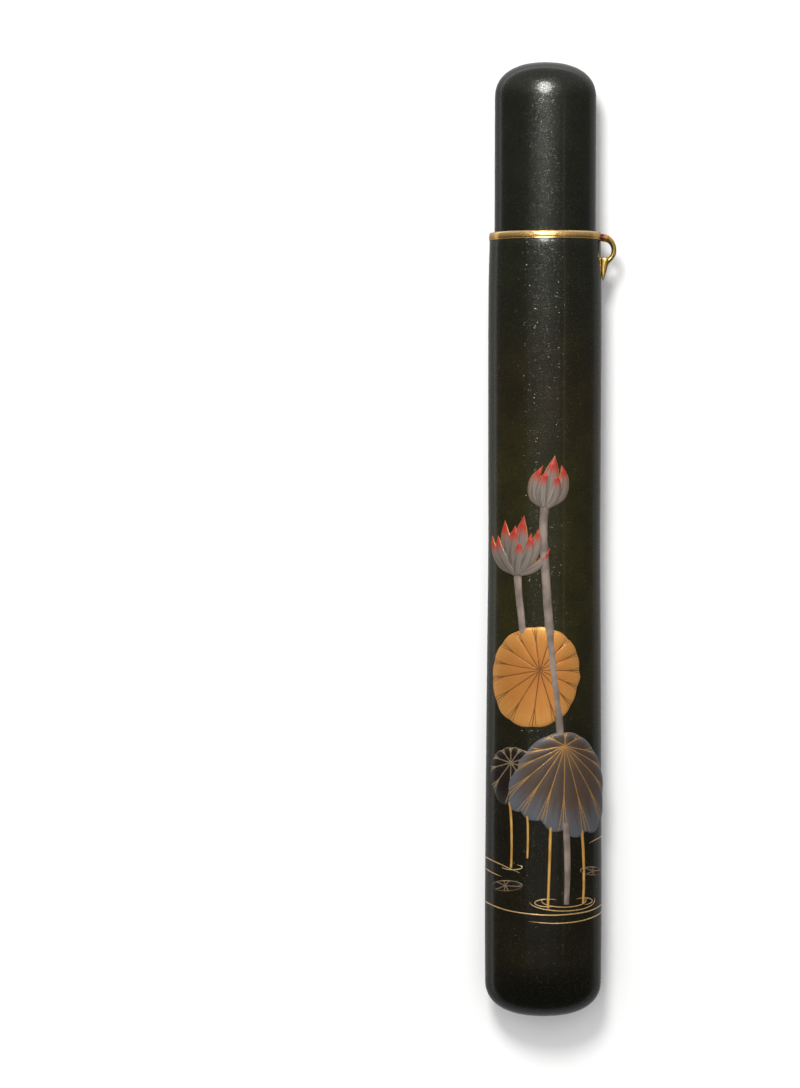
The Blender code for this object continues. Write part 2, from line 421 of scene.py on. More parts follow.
goldLook = {
    "bright": (0.96, 0.67, 0.29), "deep": (0.86, 0.49, 0.16), "orange": (0.80, 0.36, 0.10),
    "copper": (0.60, 0.29, 0.18), "burnt": (0.12, 0.045, 0.035),
    "roughness": (0.19, 0.31), "scratch": 0.0012, "dent": 0.014,
    "cloudGrain": 2.2, "scratchGrain": 0.8, "scratchLength": 9.0, "dentGrain": 1.6,
    "lowerSide": (0.45, -0.55),  # from the rim's middle, where it begins and where it is full
    "paintedShadeBelow": 0.8,  # how much deeper the gold is along the rim's lower side: painted shade
    "paintedLightAbove": 0.09,  # how much less metallic it is along the upper side, so that it reads lighter: painted highlight
}
loopGoldLook = {
    **goldLook,
    "bright": (0.96, 0.66, 0.20), "deep": (0.88, 0.54, 0.13), "orange": (0.88, 0.42, 0.11),
    "roughness": (0.20, 0.28), "scratch": 0.0003, "dent": 0.020, "paintedShadeBelow": 0.0, "paintedLightAbove": 0.0,
}
solder = {
    "place": (0.25, -0.1, 0.6),  # from the side of the mouth, the rim's middle and the axis
    "reach": (("orange", 2.2), ("copper", 1.40), ("burnt", 1.05)),  # one ring within the next
    "soft": 0.35,
    "edgeGrain": 0.45,
    "edgeDepth": 0.5,
    "roughReach": (1.7, 1.0),
    "rough": 0.25,
}
# size and relief of the powders' grains
powderGrain, leafGrain = 0.16, 0.17
powderDepth, leafDepth = 0.006, 0.005
powderLooks = {
    "pictureGold": {"bright": (0.80, 0.46, 0.12), "deep": (0.62, 0.31, 0.07), "metallic": 0.6},
    "lineGold": {"bright": (0.72, 0.50, 0.24), "deep": (0.58, 0.36, 0.14), "metallic": 0.6},
    "stalkSilver": {"bright": (0.235, 0.185, 0.148), "deep": (0.135, 0.105, 0.088), "metallic": 0.15},
}


def polishedGold(name, look):
    # worn gold, with copper and a burnt ring where the loop is soldered on; painted shade deepens its lower
    # side, and a painted highlight lightens its upper side
    material, tree, shader = makeMaterial(name)
    place = objectPlace(tree)
    cloud = ramp(tree, noise(tree, place, look["cloudGrain"], 4.0, 0.6),
                 0.35, 0.7, 0.0, 1 - look["paintedShadeBelow"])
    along = splitXyz(tree, place)[1]
    downwards = [(rimMiddle + up) * mm for up in look["lowerSide"]]
    # towards the rim's lower side the gold deepens: painted shade
    low = ramp(tree, along, *downwards, 0.0, look["paintedShadeBelow"])
    color = mixColor(tree, plus(tree, cloud, low), look["bright"], look["deep"])
    center = [(a + b) * mm for a, b in zip((mouthHalf, rimMiddle, axisHeight), solder["place"])]
    away = vectorNode(tree, "DISTANCE", place, center, "Value")
    uneven = times(tree, noise(tree, place, solder["edgeGrain"]), solder["edgeDepth"] * mm)
    ragged = plus(tree, away, uneven)
    for key, reach in solder["reach"]:
        ring = ramp(tree, ragged, reach * mm, (reach - solder["soft"]) * mm)
        color = mixColor(tree, ring, color, look[key])
    drawn = vectorNode(tree, "MULTIPLY", place, (1.0, look["scratchLength"], 1.0))
    scratch = noise(tree, drawn, look["scratchGrain"], 3.0, 0.7)
    outer, inner = solder["roughReach"]
    rough = times(tree, ramp(tree, ragged, outer * mm, inner * mm), solder["rough"])
    rough = plus(tree, ramp(tree, scratch, 0.35, 0.7, *look["roughness"]), rough)
    dents = bump(tree, noise(tree, place, look["dentGrain"], 2.0), look["dent"])
    normal = bump(tree, scratch, look["scratch"], below=dents)
    # the upper side is less metallic so that it reads lighter: painted highlight
    metal = ramp(tree, along, *downwards, 1 - look["paintedLightAbove"], 1.0) if look["paintedLightAbove"] else 1.0
    connect(tree, shader, color=color, metallic=metal, roughness=rough, normal=normal)
    return material


def goldPowder(name):
    # sprinkled powder, satin, thinner in places
    look = powderLooks[name]
    material, tree, shader = makeMaterial(name)
    place = objectPlace(tree)
    specks = noise(tree, place, powderGrain, 3.0, 0.7)
    cloud = ramp(tree, noise(tree, place, 3.5, 3.0), 0.35, 0.65)
    color = mixColor(tree, cloud, look["bright"], look["deep"])
    gaps = ramp(tree, specks, 0.52, 0.70, 0.0, 0.55)
    color = mixColor(tree, gaps, color, tuple(0.35 * c for c in look["deep"]))
    rough = ramp(tree, specks, 0.3, 0.7, 0.26, 0.50)
    connect(tree, shader, color=color, metallic=look["metallic"], roughness=rough,
            normal=bump(tree, specks, powderDepth))
    return material


leafLooks = {
    "gold": {
        "hub": (0.42, 0.155, 0.032), "middle": (0.51, 0.200, 0.042), "edge": (0.62, 0.285, 0.070),
        "firstBlend": (0.1, 0.5), "secondBlend": (0.55, 1.0), "streaks": 14.0, "streakStrength": 0.45,
        "speck": (0.22, 0.075, 0.02), "speckle": 0.45, "vein": (0.20, 0.075, 0.02),
        "metallic": 0.50, "veinMetallic": 0.1, "roughness": (0.34, 0.52), "veinRidge": -0.03,
    },
    "grey": {
        "hub": (0.125, 0.075, 0.042), "middle": (0.062, 0.040, 0.028), "edge": (0.085, 0.092, 0.105),
        "firstBlend": (0.05, 0.32), "secondBlend": (0.58, 1.0), "streaks": 18.0, "streakStrength": 0.45,
        "speck": (0.02, 0.014, 0.010), "speckle": 0.50, "vein": (0.56, 0.30, 0.085),
        "metallic": 0.15, "veinMetallic": 0.65, "roughness": (0.34, 0.52), "veinRidge": 0.03,
    },
    "black": {
        "hub": (0.010, 0.006, 0.005), "middle": (0.009, 0.005, 0.004), "edge": (0.022, 0.020, 0.016),
        "firstBlend": (0.05, 0.40), "secondBlend": (0.6, 1.0), "streaks": 14.0, "streakStrength": 0.3,
        "speck": (0.04, 0.035, 0.03), "speckle": 0.25, "vein": (0.48, 0.36, 0.20),
        "metallic": 0.05, "veinMetallic": 0.80, "roughness": (0.20, 0.34), "veinRidge": 0.03,
    },
}
petalLook = {
    "foot": (0.215, 0.180, 0.150), "line": (0.060, 0.045, 0.036), "tip": (0.33, 0.016, 0.008),
    "edge": (0.60, 0.34, 0.10), "blend": (0.58, 0.84),
}


def fanStreaks(tree, across, along, detail):
    # streaks that run along a leaf or petal
    fan = addNode(tree, "CombineXYZ", {"X": across, "Y": along}).outputs["Vector"]
    return addNode(tree, "TexNoise", {"Vector": fan, "Scale": 1.0, "Detail": detail}).outputs["Fac"]


def shifted(tree, share, streak, strength):
    # moves the border between two colours to and fro by the streaks
    step = times(tree, minus(tree, streak, 0.5), strength)
    return plus(tree, share, step)


def leafFinish(name, look):
    # powdered colours from hub to edge, streaks along the veins, gold veins and outline
    material, tree, shader = makeMaterial(name)
    place = objectPlace(tree)
    share, turn, vein = mark(tree, "share"), mark(tree, "turn"), mark(tree, "vein")
    fan = times(tree, turn, look["streaks"]), times(tree, share, 2.5)
    streak = fanStreaks(tree, *fan, 4.0)
    shift = shifted(tree, share, streak, look["streakStrength"])
    color = mixColor(tree, ramp(tree, shift, *look["firstBlend"]), look["hub"], look["middle"])
    color = mixColor(tree, ramp(tree, shift, *look["secondBlend"]), color, look["edge"])
    specks = noise(tree, place, leafGrain, 3.0, 0.7)
    color = mixColor(tree, ramp(tree, specks, 0.50, 0.72, 0.0, look["speckle"]), color, look["speck"])
    worn = ramp(tree, noise(tree, place, 0.5, 2.0), 0.25, 0.42, 0.35, 1.0)
    line = times(tree, vein, worn)
    color = mixColor(tree, line, color, look["vein"])
    shine = times(tree, line, look["veinMetallic"])
    metal = plus(tree, look["metallic"], shine)
    rough = ramp(tree, specks, 0.3, 0.7, *look["roughness"])
    ridge = bump(tree, line, look["veinRidge"])
    connect(tree, shader, color=color, metallic=metal, roughness=rough,
            normal=bump(tree, specks, leafDepth, below=ridge))
    return material


def petalFinish(name, look):
    # silvered foot, red tip, fine lines along the petal and a gold edge
    material, tree, shader = makeMaterial(name)
    place = objectPlace(tree)
    share, across = mark(tree, "share"), mark(tree, "across")
    streak = fanStreaks(tree, times(tree, across, 6.0), share, 3.0)
    shift = shifted(tree, share, streak, 0.35)
    color = mixColor(tree, ramp(tree, shift, *look["blend"]), look["foot"], look["tip"])
    fade = ramp(tree, share, 0.95, 0.2, 0.15, 0.75)
    lines = times(tree, ramp(tree, streak, 0.47, 0.62), fade)
    color = mixColor(tree, lines, color, look["line"])
    specks = noise(tree, place, powderGrain, 3.0, 0.7)
    gaps = ramp(tree, specks, 0.52, 0.72, 0.0, 0.5)
    color = mixColor(tree, gaps, color, tuple(0.4 * c for c in look["foot"]))
    edge = ramp(tree, mathNode(tree, "ABSOLUTE", across, 0.0), 0.80, 0.90)
    color = mixColor(tree, edge, color, look["edge"])
    silver = times(tree, ramp(tree, shift, *look["blend"][::-1]), 0.45)
    metal = plus(tree, silver, times(tree, edge, 0.5))
    rough = ramp(tree, specks, 0.3, 0.7, 0.30, 0.52)
    connect(tree, shader, color=color, metallic=metal, roughness=rough, specular=0.3,
            normal=bump(tree, specks, leafDepth))
    return material


# Outer case

def makeCaseBody(material):
    shape = caseShape
    lipRound = shape["lipRound"]
    mouthY = rimUnderside - shape["lipGap"]
    boreHalf = mouthHalf - shape["wall"]
    boreDeep = shape["mouthDepth"] - shape["wall"]
    out, up = roundedEnd(36, shape["footPower"])
    footHalf = caseHalfWidth(footStartY)
    outer = [(max(o, outerPole) * footHalf, footStartY + (footY - footStartY) * u)
             for o, u in zip(out, up)]
    straight = np.linspace(footStartY, mouthY - lipRound, 90)[1:]
    outer += [(caseHalfWidth(y), y) for y in straight]
    frontStart = footY + shape["frontRound"]

    def deepAt(half, y):
        past = max(0.0, frontStart - y) / shape["frontRound"]
        slim = depthLeft(past, shape["footPower"])
        return min(half, caseHalfWidth(max(y, footStartY)) * slim) * caseFlatness

    outer = [(half, deepAt(half, y), y) for half, y in outer]
    lipHalf = caseHalfWidth(mouthY)
    lipDeep = lipHalf * caseFlatness
    lip = []
    for turn in np.radians((30, 60, 90)):
        inset = lipRound * (1 - math.cos(turn))
        lip.append((lipHalf - inset, lipDeep - inset, mouthY - lipRound * (1 - math.sin(turn))))
    inner = [(boreHalf, boreDeep, mouthY)]
    inner += [(boreHalf, boreDeep, y) for y in np.linspace(mouthY, footStartY, 12)[1:]]
    floorY = footY + shape["floorWall"]
    for o, u in list(zip(out, up))[::-3][1:]:
        share = max(o, innerPole)
        inner.append((boreHalf * share, boreDeep * share, footStartY + (floorY - footStartY) * u))
    turns = fullTurn(shape["facets"])
    rings = [ovalRing(half, deep, y, turns) for half, deep, y in outer + lip]
    rings += [ovalRing(half, deep, y, turns, flatBack=False) for half, deep, y in inner]
    body = loft("caseBody", np.array(rings) * mm, material)
    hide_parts("case_body")


# Inner tube

tubeShape = {
    "wall": 1.1,
    "fuller": 0.12,  # a little wider than the plain oval, still clear of the rim
    "crownRound": 7.95,
    "crownPower": 2.32,
    "crownWall": 1.5,
    "frontRound": 8.75,  # the crown starts to fall away a little sooner on the flatter faces
    "frontTaper": 0.16,  # how much flatter the front is where the crown begins
    "taperReach": 30,
    "facets": 256,
}


def makeInnerTube(material):
    shape = tubeShape
    half = tubeHigh.x + shape["fuller"]
    deep = (tubeHigh.z - tubeLow.z) / 2
    roundY = tubeHigh.y - shape["crownRound"]
    out, up = roundedEnd(40, shape["crownPower"])

    def deepAt(y):
        past = max(0.0, y - tubeHigh.y + shape["frontRound"]) / shape["frontRound"]
        fall = depthLeft(past, shape["crownPower"])
        taper = smoothStep(tubeHigh.y - shape["taperReach"], roundY, y)
        return deep * fall - shape["frontTaper"] * taper * fall

    sections = []
    for o, u in zip(out, up):
        y = roundY + shape["crownRound"] * u
        sections.append((max(o, outerPole) * half, max(deepAt(y), outerPole * deep), y))
    sections += [(half, deepAt(y), y) for y in np.linspace(roundY, tubeLow.y, 60)[1:]]
    innerHalf, innerDeep = half - shape["wall"], deep - shape["wall"]
    sections += [(innerHalf, innerDeep, y) for y in np.linspace(tubeLow.y, roundY, 12)]
    innerRise = shape["crownRound"] - shape["crownWall"]
    for o, u in list(zip(out, up))[::-4][1:]:
        share = max(o, innerPole)
        sections.append((innerHalf * share, innerDeep * share, roundY + innerRise * u))
    turns = fullTurn(shape["facets"])
    rings = []
    for a, b, y in sections:
        x, z = a * np.sin(turns), axisHeight + b * np.cos(turns)
        rings.append(np.stack([x, np.full_like(turns, y), z], axis=-1))
    tube = loft("innerTube", np.array(rings) * mm, material)
    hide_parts("inner_tube")


# Gold rim with its cord loop

rimShape = {
    "height": 1.8,
    # (up from the middle, in from the outer face): a gently bulging band over a thin lip
    "section": [(0.900, 0.550), (0.885, 0.400), (0.840, 0.290), (0.780, 0.210), (0.700, 0.155),
                (0.600, 0.105), (0.500, 0.075), (0.400, 0.058), (0.300, 0.047), (0.200, 0.037),
                (0.100, 0.028), (0.000, 0.019), (-0.100, 0.011), (-0.200, 0.005),
                (-0.300, 0.001), (-0.400, 0.002), (-0.480, 0.011), (-0.550, 0.034),
                (-0.600, 0.048), (-0.660, 0.040), (-0.730, 0.022), (-0.790, 0.020),
                (-0.845, 0.070), (-0.885, 0.180), (-0.900, 0.400)],
    "inside": (-0.86, 0.0, 0.86),  # rows on the band's inner face
    "insideGap": 0.02,
    "facets": 320,
}
loopShape = {
    # the wire's middle, out from the side of the mouth, up from the rim's middle and above the
    # axis, and half its thickness
    "route": [(-0.30, -0.15, 0.00, 0.70), (0.50, -0.24, 0.00, 0.86), (1.25, -0.42, -0.06, 0.82),
              (2.00, -0.84, -0.12, 0.72), (2.64, -1.66, -0.16, 0.63), (2.95, -2.72, -0.16, 0.57),
              (2.86, -3.80, -0.15, 0.55), (2.38, -4.62, -0.14, 0.54), (1.76, -5.30, -0.12, 0.54),
              (1.40, -5.90, -0.06, 0.46), (1.20, -6.60, 0.02, 0.30)],
    # the leaf-shaped tail, its broad end across the bottom of the eye
    "tail": [(0.94, -4.58, 0.10, 0.10), (0.96, -4.68, 0.11, 0.72), (0.94, -4.92, 0.13, 1.06),
             (0.88, -5.45, 0.18, 1.02), (0.76, -6.20, 0.25, 0.88), (0.68, -7.10, 0.34, 0.74),
             (0.58, -8.20, 0.45, 0.54), (0.54, -9.20, 0.54, 0.29), (0.52, -9.90, 0.60, 0.05)],
    "wireDepth": 1.05,  # depth of the wire and of the tail against their widths
    "tailDepth": 0.44,
    "tailPower": 1.7,  # under 2 the section has a ridge along it
    "tailRoll": -3.0,  # degrees
    # the strip under the eye lies on the lacquer, a little towards the back
    "stripTurn": 15.0,
    "stripHalfThick": 0.14,
    "stripHalfWide": 0.50,
    "stripTaper": 2.5,  # length of its narrowing end
    "stripTip": (0.25, 0.3),  # how much of the width and of the thickness the end keeps
    "stripProud": 0.04,
    "stripEnds": (0.3, 1.2),  # from the rim's underside, and past the tip of the tail
    "facets": 32,
}
rimUnderside = rimHigh.y - rimShape["height"]
rimMiddle = rimHigh.y - rimShape["height"] / 2


def makeMouthRim(material):
    outerHalf = -rimLow.x
    outerDeep = caseShape["mouthDepth"] + caseShape["rimProud"]
    boreHalf = mouthHalf - caseShape["wall"]
    boreDeep = caseShape["mouthDepth"] - caseShape["wall"]
    turns = fullTurn(rimShape["facets"])
    rows = [(outerHalf - inset, outerDeep - inset, up)
            for up, inset in smoothPath(rimShape["section"], 52)]
    gap = rimShape["insideGap"]
    rows += [(boreHalf + gap, boreDeep + gap, up) for up in rimShape["inside"]]
    rings = [ovalRing(half, deep, rimMiddle + up, turns) for half, deep, up in rows]
    rim = loft("mouthRim", np.array(rings) * mm, material, wrapRows=True)
    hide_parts("mouth_rim")


def signedPower(values, power):
    return np.sign(values) * np.abs(values) ** power


def sweep(name, route, halfAcross, halfDeep, material, power=2.0, roll=0.0):
    # a bar along a route; halfDeep is its half size in depth, and roll turns its section
    side = sideways(route[:, :2])
    turns = fullTurn(loopShape["facets"])
    across = halfAcross[:, None] * signedPower(np.cos(turns), 2 / power)
    deep = halfDeep[:, None] * signedPower(np.sin(turns), 2 / power)
    cosRoll, sinRoll = math.cos(math.radians(roll)), math.sin(math.radians(roll))
    rings = np.zeros((len(route), len(turns), 3))
    rings[..., :2] = side[:, None] * (across * cosRoll - deep * sinRoll)[..., None]
    rings[..., 2] = across * sinRoll + deep * cosRoll
    rings += route[:, None]
    piece = loft(name, rings * mm, material)
    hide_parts("mouth_rim")


def makeCordLoop(material):
    shape = loopShape
    corner = np.array([mouthHalf, rimMiddle, axisHeight])
    wire = smoothPath(shape["route"], 150)
    half = wire[:, 3]
    sweep("cordLoop", corner + wire[:, :3], half, half * shape["wireDepth"], material)
    tail = smoothPath(shape["tail"], 90)
    half = np.maximum(tail[:, 3], 0.02)
    sweep("loopTail", corner + tail[:, :3], half, half * shape["tailDepth"], material,
          shape["tailPower"], shape["tailRoll"])

    # rings of the strip, each a flat bar across the lacquer
    top, past = shape["stripEnds"]
    along = np.linspace(rimUnderside + top, rimMiddle + shape["tail"][-1][1] + past, 50)
    turns = fullTurn(24)
    full = smoothStep(along[-1] - 0.1, along[-1] + shape["stripTaper"], along)[:, None]
    wide, thick = (tip + (1 - tip) * full for tip in shape["stripTip"])
    around = ovalAround[np.searchsorted(ovalTurn, math.radians(90 + shape["stripTurn"]))]
    around = around + shape["stripHalfWide"] * wide * np.cos(turns)
    lift = shape["stripProud"] + shape["stripHalfThick"] * thick * np.sin(turns)
    strip = loft("loopStrip", onCase(around, along[:, None], lift), material)
    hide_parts("mouth_rim")


# Raised decoration

sunk = 0.05  # how far the edges of each raised piece reach into the lacquer
underLift = -1.5 * sunk


def raisedRibbon(name, points, height, material, count, columns, power=2.4):
    # points are (around, along, half width); the ribbon swells up between its edges
    path = smoothPath(points, count)
    center, half = path[:, :2], np.maximum(path[:, 2], 0.012)
    side = sideways(center)
    share = np.linspace(-1, 1, columns)
    crown = np.clip(1 - np.abs(share) ** power, 0, 1) ** 0.5
    rise = height * np.clip(half / (0.45 * half.max()), 0.05, 1)
    top = -sunk + (rise[:, None] + sunk) * crown
    under = np.full((count, columns - 2), underLift)
    across = np.concatenate([share, share[-2:0:-1]])
    lift = np.concatenate([top, under], axis=1)
    flat = center[:, None] + side[:, None] * (half[:, None] * across)[..., None]
    marks = {
        "across": np.broadcast_to(across, lift.shape),
        "share": np.broadcast_to(np.linspace(0, 1, count)[:, None], lift.shape),
    }
    rings = onCase(flat[..., 0], flat[..., 1], lift)
    loft(name, rings, material, marks=marks)


def raisedPad(name, pad, material):
    # a leaf spread round its hub: outline points as listed, folds between its veins
    hub = np.array(pad["hub"])
    outline = smoothPath(pad["outline"] + pad["outline"][:1], 400)[:-1] - hub
    bearing = np.arctan2(outline[:, 1], outline[:, 0])
    order = np.argsort(bearing)
    turns = np.linspace(-math.pi, math.pi, pad["columns"], endpoint=False)
    reach = np.interp(turns, bearing[order], np.hypot(*outline.T)[order], period=2 * math.pi)
    veins = np.sort(np.concatenate([np.radians(np.linspace(*span)) for span in pad["veins"]]))
    veins = np.concatenate([[veins[-1] - 2 * math.pi], veins, [veins[0] + 2 * math.pi]])
    left = np.clip(np.searchsorted(veins, turns, side="right") - 1, 0, len(veins) - 2)
    gap = veins[left + 1] - veins[left]
    between = (turns - veins[left]) / gap
    pillow = np.sin(math.pi * between)
    reach = reach * (1 + pad["scallop"] * (pillow - 0.6))
    rings = pad["rings"]
    share = np.linspace(0.01, 1, rings)[:, None]
    edgeFall = np.clip(1 - share ** pad["edgePower"], 0, 1) ** 0.5
    fold = pad["fold"] * pillow * share * (1 - share**6)
    droop = 1 - pad["droop"] * share**2
    top = -sunk + (pad["height"] * droop + sunk) * edgeFall + fold
    nearest = np.minimum(between, 1 - between) * gap
    reachHere = share * reach
    main = np.abs(nearest) * reachHere
    split = np.clip(share - pad["forkAt"], 0, 1) * pad["forkSpread"]
    fork = np.abs(nearest - split * gap) * reachHere
    half = pad["veinHalf"]
    vein = smoothStep(half * 1.6, half * 0.6, main)
    forked = 0.85 * smoothStep(half * 1.3, half * 0.5, fork) * (share >= pad["forkAt"])
    vein = np.maximum(vein, forked) * (share < pad["veinEnd"])
    border = smoothStep(0.0, 0.08, share - 1 + pad["borderWidth"] / reach)
    vein = np.maximum(vein, border * (pad["borderWidth"] > 0))
    underShare = np.linspace(1, 0.01, 6)[1:, None]
    underRows = (len(underShare), len(turns))
    allShare = np.concatenate([share, underShare])
    outwards = np.stack([np.cos(turns), np.sin(turns)], axis=-1)
    flat = hub + (allShare * reach)[..., None] * outwards
    lift = np.concatenate([top * np.ones_like(turns), np.full(underRows, underLift)])
    marks = {
        "share": allShare * np.ones_like(turns),
        "turn": np.broadcast_to(np.abs(turns), lift.shape),
        "vein": np.concatenate([vein * np.ones_like(turns), np.zeros(underRows)]),
    }
    loft(name, onCase(flat[..., 0], flat[..., 1], lift), material, marks=marks)


goldLeaf = {
    "hub": (-1.2, -29.0),
    "outline": [(8.0, -30.5), (7.0, -24.6), (3.4, -20.6), (-2.2, -19.3), (-8.0, -21.2), (-12.0, -26.2),
                (-12.6, -32.5), (-10.0, -38.4), (-5.0, -41.4), (0.8, -41.0), (5.4, -37.4)],
    "veins": [(-170, 170, 15)],  # from and to in degrees, and how many
    "scallop": 0.022, "fold": 0.10, "height": 0.34, "droop": 0.15, "edgePower": 14,
    "forkAt": 0.62, "forkSpread": 0.42, "veinHalf": 0.085, "veinEnd": 0.97, "borderWidth": 0.0,
    "columns": 720, "rings": 56,
}
greyLeaf = {
    "hub": (4.2, -45.6),
    "outline": [(12.5, -47.5), (8.2, -43.6), (3.6, -42.6), (-1.5, -44.4), (-6.2, -49.6), (-8.6, -56.6),
                (-6.4, -60.2), (-2.0, -62.2), (2.6, -64.6), (7.6, -65.6), (12.4, -64.2), (16.2, -60.6),
                (16.8, -54.4)],
    "veins": [(-170, -12, 11), (30, 150, 3)],
    "scallop": 0.055, "fold": 0.20, "height": 0.52, "droop": 0.45, "edgePower": 12,
    "forkAt": 0.55, "forkSpread": 0.45, "veinHalf": 0.075, "veinEnd": 0.985, "borderWidth": 0.20,
    "columns": 960, "rings": 70,
}
blackLeaf = {
    "hub": (-7.4, -49.4),
    "outline": [(-1.6, -50.5), (-3.8, -47.0), (-8.0, -46.0), (-12.2, -48.2), (-13.4, -52.4), (-11.6, -56.6),
                (-8.6, -58.8), (-5.0, -57.6), (-2.0, -54.4)],
    "veins": [(-165, 165, 10)],
    "scallop": 0.05, "fold": 0.10, "height": 0.22, "droop": 0.2, "edgePower": 12,
    "forkAt": 0.6, "forkSpread": 0.5, "veinHalf": 0.09, "veinEnd": 0.97, "borderWidth": 0.22,
    "columns": 480, "rings": 40,
}
floatingLeaves = [
    {"hub": (-8.6, -76.6), "size": (4.0, 1.25), "tilt": 3},
    {"hub": (11.2, -73.4), "size": (3.4, 1.0), "tilt": -5},
]


def makeFloatingLeaf(number, leaf, material):
    turn = np.radians(np.arange(0, 360, 30))
    tilt = math.radians(leaf["tilt"])
    x, y = leaf["size"][0] * np.cos(turn), leaf["size"][1] * np.sin(turn)
    outline = np.stack([leaf["hub"][0] + x * math.cos(tilt) - y * math.sin(tilt),
                        leaf["hub"][1] + x * math.sin(tilt) + y * math.cos(tilt)], axis=-1)
    pad = {
        "hub": leaf["hub"], "outline": [tuple(p) for p in outline.tolist()],
        "veins": [(-160, 160, 7)],
        "scallop": 0.0, "fold": 0.02, "height": 0.14, "droop": 0.0, "edgePower": 10,
        "forkAt": 0.9, "forkSpread": 0.0, "veinHalf": 0.07, "veinEnd": 0.9, "borderWidth": 0.24,
        "columns": 300, "rings": 24,
    }
    raisedPad(f"floatingLeaf{number}", pad, material)


stalks = {
    # name: (points as around, along, half width; height)
    "tallStalk": ([(3.4, -45.4, 0.86), (3.0, -40, 0.92), (1.9, -30, 0.98), (0.9, -20, 1.04),
                   (-0.1, -6, 1.02), (-0.5, 2, 1.00), (-0.2, 7.4, 1.10)], 0.46),
    "lowStalk": ([(4.7, -80.6, 0.62), (4.9, -72, 0.74), (4.6, -62.6, 0.80)], 0.40),
    "blossomStalk": ([(-4.9, -21.3, 0.80), (-5.4, -16.5, 0.86), (-6.0, -11.5, 0.90),
                      (-6.3, -7.2, 1.02)], 0.30),
}
goldStems = {
    "stemA": ([(1.3, -62.0, 0.36), (1.1, -68.4, 0.35), (0.9, -75, 0.33), (0.7, -81.4, 0.30)], 0.24),
    "stemB": ([(8.3, -64.0, 0.36), (8.7, -70.0, 0.35), (8.8, -76, 0.33), (8.6, -80.6, 0.30)], 0.24),
    "stemC": ([(-7.7, -58.0, 0.31), (-7.3, -63.0, 0.30), (-7.2, -68.5, 0.28), (-7.3, -72.6, 0.26)], 0.22),
    "stemD": ([(-4.2, -57.0, 0.28), (-3.7, -62, 0.28), (-3.6, -66.5, 0.26), (-3.7, -70.4, 0.24)], 0.20),
}

budPetals = [
    # back to front: (points, height)
    ([(0.9, 7.0, 0.4), (3.3, 9.6, 1.3), (4.0, 13.0, 1.2), (3.5, 16.4, 0.04)], 0.36),
    ([(-0.8, 7.0, 0.4), (-2.5, 9.4, 1.3), (-2.4, 12.8, 1.25), (-0.6, 16.2, 0.04)], 0.36),
    ([(0.2, 6.8, 0.5), (0.6, 10.0, 2.1), (1.3, 14.2, 1.8), (2.0, 18.4, 0.04)], 0.44),
    ([(-0.3, 6.6, 0.5), (-0.9, 9.0, 1.5), (-0.7, 12.0, 1.45), (0.6, 15.4, 0.04)], 0.54),
    ([(0.1, 6.6, 0.5), (1.5, 8.6, 1.35), (2.3, 11.4, 1.3), (2.3, 14.8, 0.04)], 0.56),
]
blossomPetals = [
    ([(-6.6, -7.6, 0.5), (-8.2, -3.8, 1.6), (-9.2, 0.2, 1.4), (-9.4, 4.2, 0.04)], 0.34),
    ([(-6.2, -7.6, 0.5), (-5.8, -3.4, 1.8), (-5.4, 0.8, 1.6), (-4.8, 5.2, 0.04)], 0.34),
    ([(-5.8, -7.6, 0.5), (-3.4, -4.2, 1.5), (-1.9, -0.8, 1.3), (-1.2, 2.8, 0.04)], 0.34),
    ([(-6.6, -7.8, 0.5), (-9.8, -5.6, 1.3), (-12.2, -2.8, 1.2), (-13.6, 0.8, 0.04)], 0.42),
    ([(-6.4, -7.8, 0.6), (-7.4, -4.2, 1.8), (-7.2, -0.6, 1.6), (-6.8, 3.0, 0.04)], 0.48),
    ([(-6.6, -7.9, 0.6), (-9.0, -5.4, 1.4), (-10.6, -2.6, 1.25), (-11.4, 0.8, 0.04)], 0.54),
    ([(-6.0, -7.9, 0.6), (-4.6, -5.2, 1.5), (-3.6, -2.2, 1.3), (-3.2, 1.4, 0.04)], 0.54),
    ([(-5.8, -8.0, 0.4), (-3.0, -6.8, 1.0), (-0.6, -4.8, 0.9), (1.0, -2.0, 0.04)], 0.46),
    ([(-6.3, -8.0, 0.6), (-6.3, -5.8, 1.5), (-6.0, -3.2, 1.35), (-5.8, -0.2, 0.04)], 0.60),
]

waterLines = [
    # (points as around, along, half width)
    [(-28.0, -79.7, 0.03), (-24, -79.7, 0.12), (-15, -80.6, 0.15), (-7, -82.2, 0.16), (1, -82.9, 0.17),
     (9, -82.4, 0.16), (15, -81.2, 0.14), (20.5, -80.4, 0.03)],
    [(-3.5, -84.3, 0.03), (2, -84.7, 0.13), (8, -84.3, 0.15), (14, -83.1, 0.14),
     (19, -82.2, 0.11), (23.5, -81.9, 0.03)],
    [(10.2, -67.2, 0.03), (13, -66.4, 0.13), (19, -65.5, 0.14), (26, -65.2, 0.13),
     (33.0, -65.4, 0.02)],
    [(-25.0, -70.3, 0.03), (-20, -70.2, 0.12), (-14.5, -70.8, 0.14), (-10, -71.9, 0.13),
     (-5.4, -73.6, 0.03)],
    [(-19.0, -73.2, 0.03), (-15.5, -73.2, 0.12), (-12.4, -73.9, 0.12), (-9.6, -74.6, 0.03)],
]
lineHeight = 0.08
rippleSteps, rippleHalf = 16, 0.14
ripples = [
    # (center, half size, first and last turn in degrees)
    ((4.4, -79.8), (5.0, 1.35), (-205, 38)),
    ((4.4, -79.9), (7.6, 2.1), (-178, 12)),
    ((0.9, -80.2), (3.0, 0.85), (60, 290)),
    ((-7.2, -72.4), (2.4, 0.6), (-170, 60)),
    ((8.6, -80.0), (2.6, 0.75), (-80, 130)),
]


